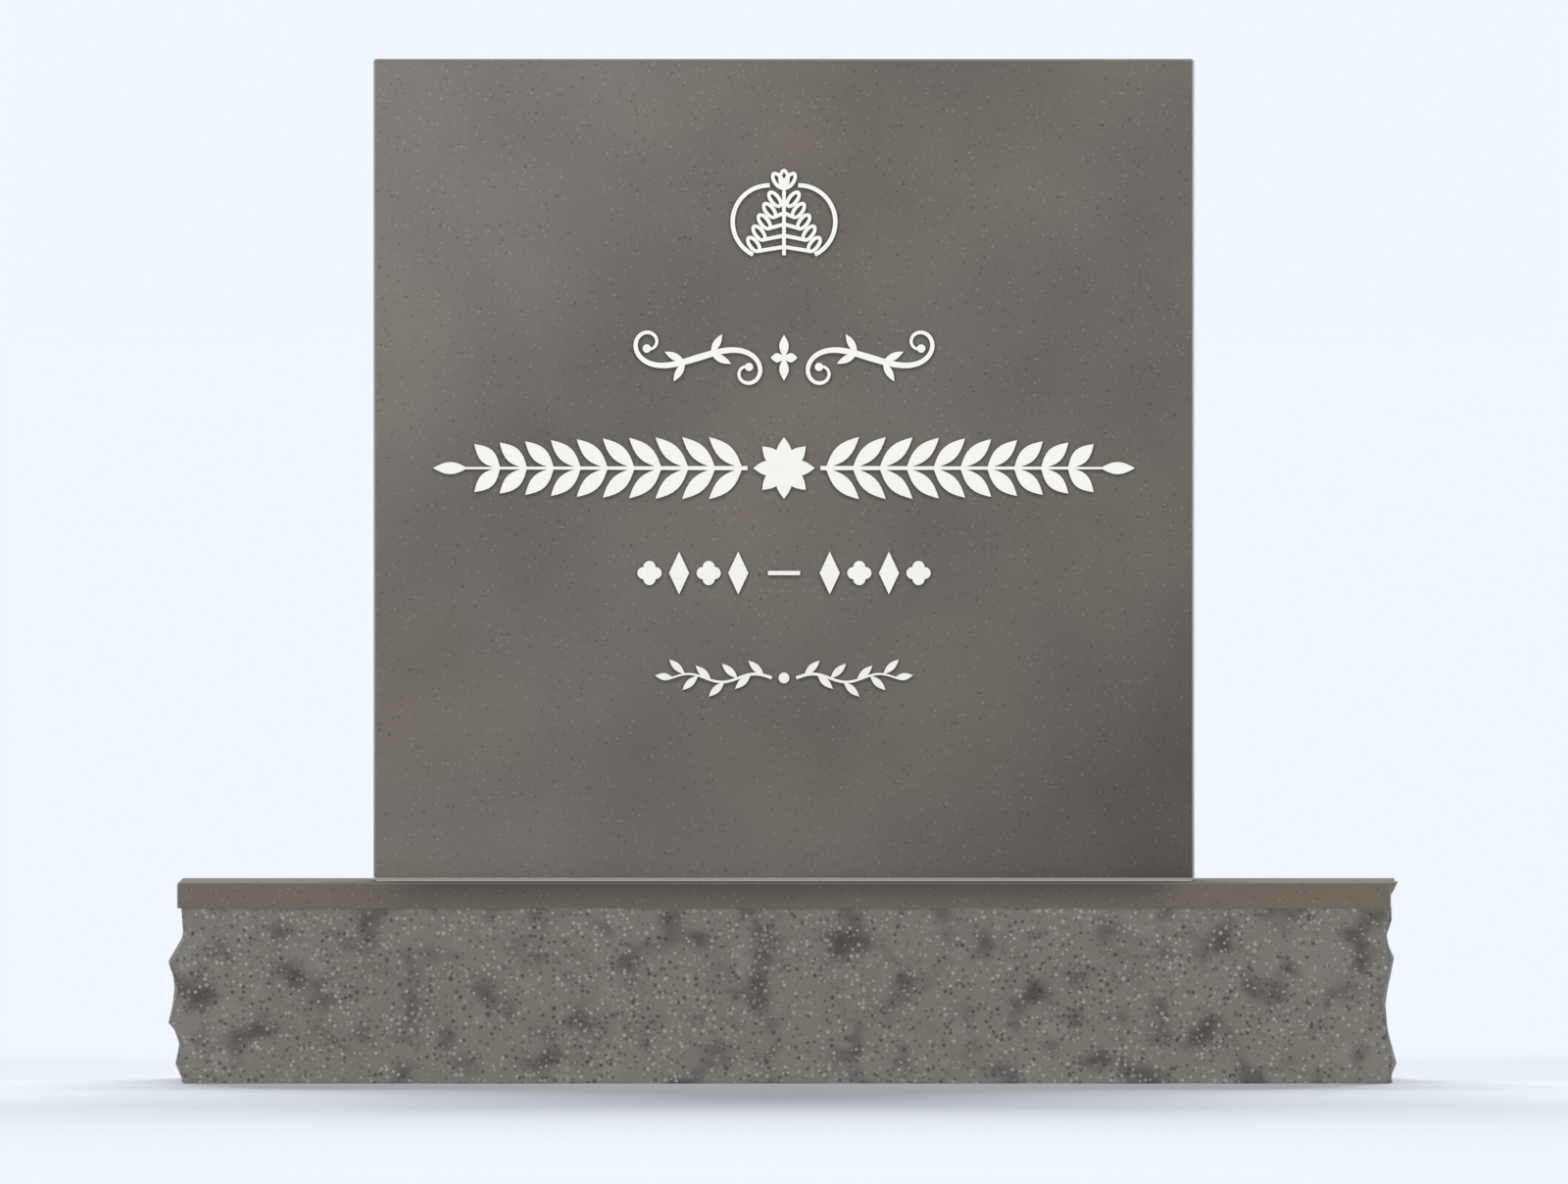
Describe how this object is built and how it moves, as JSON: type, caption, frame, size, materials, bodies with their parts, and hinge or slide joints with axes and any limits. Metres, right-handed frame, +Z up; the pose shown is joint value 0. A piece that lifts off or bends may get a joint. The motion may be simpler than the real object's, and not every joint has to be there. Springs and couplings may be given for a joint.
{
  "type": "upright headstone",
  "caption": "Upright headstone: a square polished stone tablet with raised white ornament, set and pinned on a wider base with a polished top course and a rock-faced lower course.",
  "frame": {"origin": "centre of the base's underside, on the ground", "axes": "+Z up, +X along the base to the right of someone who faces the ornament, and the ornament faces -Y"},
  "size_m": [0.9135, 0.3172, 0.76],
  "materials": {
    "polished_stone": "polished grey-brown granite with fine light and dark specks",
    "rock_faced_stone": "rock-faced granite, dull and speckled",
    "setting_compound": "pale grey setting compound, matt",
    "white_enamel": "off-white enamel, satin",
    "dowel_steel": "ribbed stainless bar, dull"
  },
  "bodies": {
    "root": {"tablet": "polished_stone", "setting_bed": "setting_compound", "base_cap": "polished_stone", "base_block": "rock_faced_stone", "dowel_left": "dowel_steel", "dowel_right": "dowel_steel", "emblem_tree": "white_enamel", "emblem_arc_left": "white_enamel", "emblem_arc_right": "white_enamel", "scroll_bud": "white_enamel", "scroll_left": "white_enamel", "scroll_right": "white_enamel", "garland_rosette": "white_enamel", "garland_left": "white_enamel", "garland_right": "white_enamel", "lozenge_bar": "white_enamel", "lozenges_left": "white_enamel", "lozenges_right": "white_enamel", "sprig_berry": "white_enamel", "sprig_left": "white_enamel", "sprig_right": "white_enamel"}
  },
  "joints": []
}
